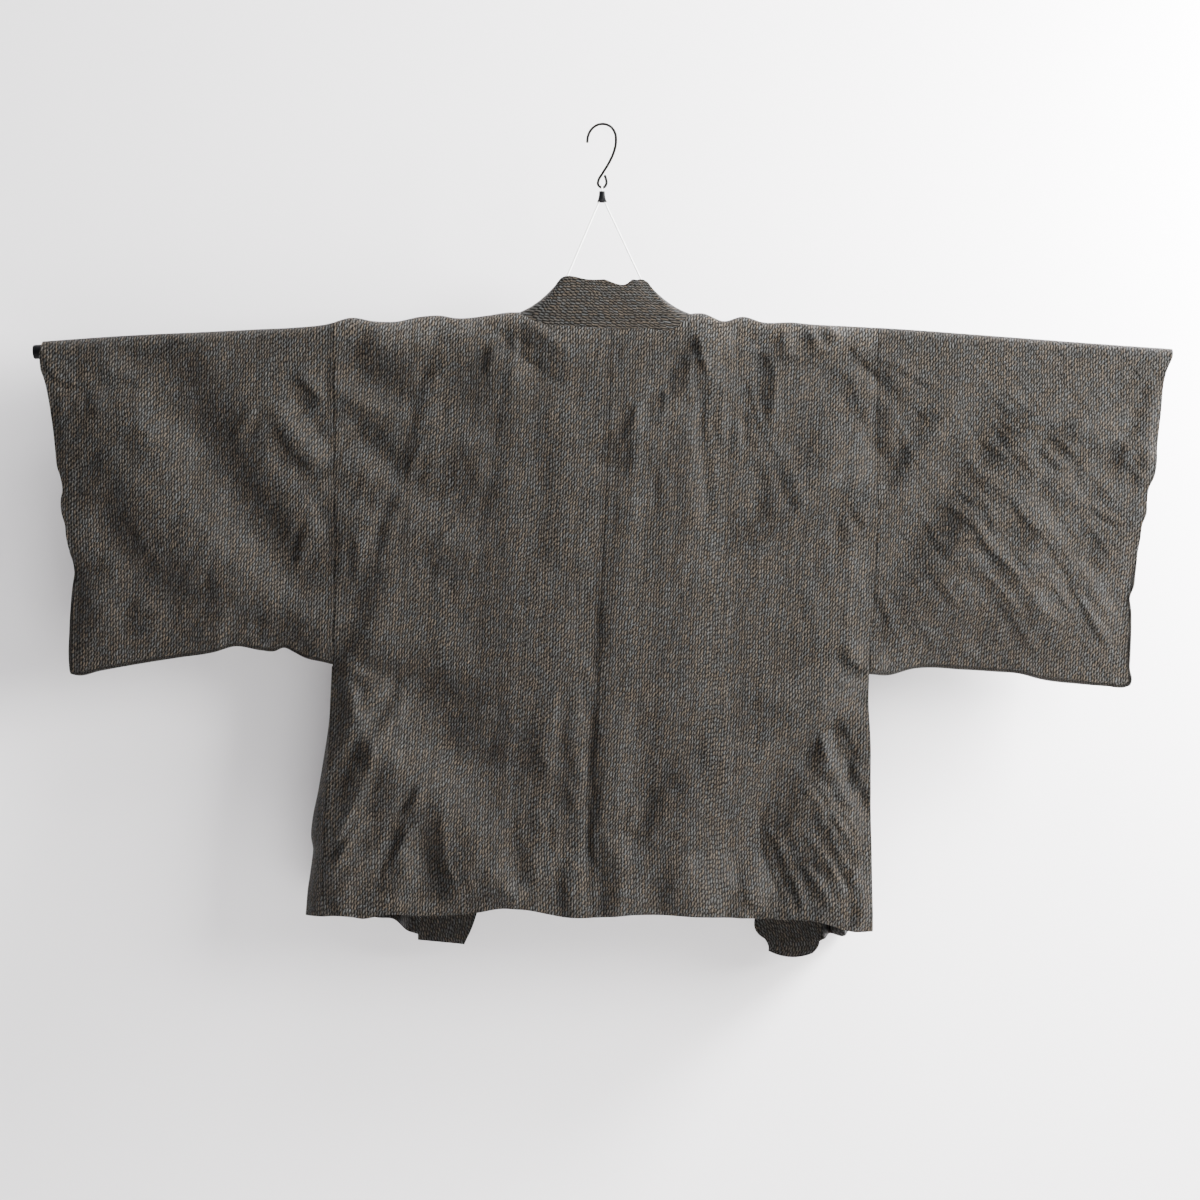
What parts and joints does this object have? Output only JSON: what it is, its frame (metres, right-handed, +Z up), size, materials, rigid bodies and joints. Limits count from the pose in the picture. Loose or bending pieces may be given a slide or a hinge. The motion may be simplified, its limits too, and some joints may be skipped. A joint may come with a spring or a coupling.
{
  "type": "haori jacket on a kimono hanger",
  "caption": "Short haori jacket in dark woven cloth, hanging open and flat on a bar hanger that runs through both sleeves, with a cord and a wire hook",
  "frame": {"origin": "inside of the hook's crown, where a rod or ring carries the hanger", "axes": "+Z up, +X along the bar to the wearer's right, -Y the way the jacket's back faces"},
  "size_m": [1.2777, 0.1279, 0.9412],
  "materials": {
    "haori_cloth": "matt woven wool-like cloth with pale flecks in fine vertical columns",
    "collar_cloth": "the same cloth turned a quarter turn, doubled",
    "bar_plastic": "satin dark plastic over a steel tube",
    "black_plastic": "smooth black",
    "dark_wire": "dark nickel plated wire",
    "white_cord": "thin white braided cord"
  },
  "bodies": {
    "root": {"body_panel_left": "haori_cloth", "body_panel_right": "haori_cloth", "sleeve_left": "haori_cloth", "sleeve_right": "haori_cloth", "gusset_left": "haori_cloth", "gusset_right": "haori_cloth", "collar_band": "collar_cloth", "hanger_bar": "bar_plastic", "bar_cap_left": "black_plastic", "bar_cap_right": "black_plastic", "cord_ferrule": "black_plastic", "hanger_hook": "dark_wire", "hanger_cord": "white_cord"}
  },
  "joints": []
}
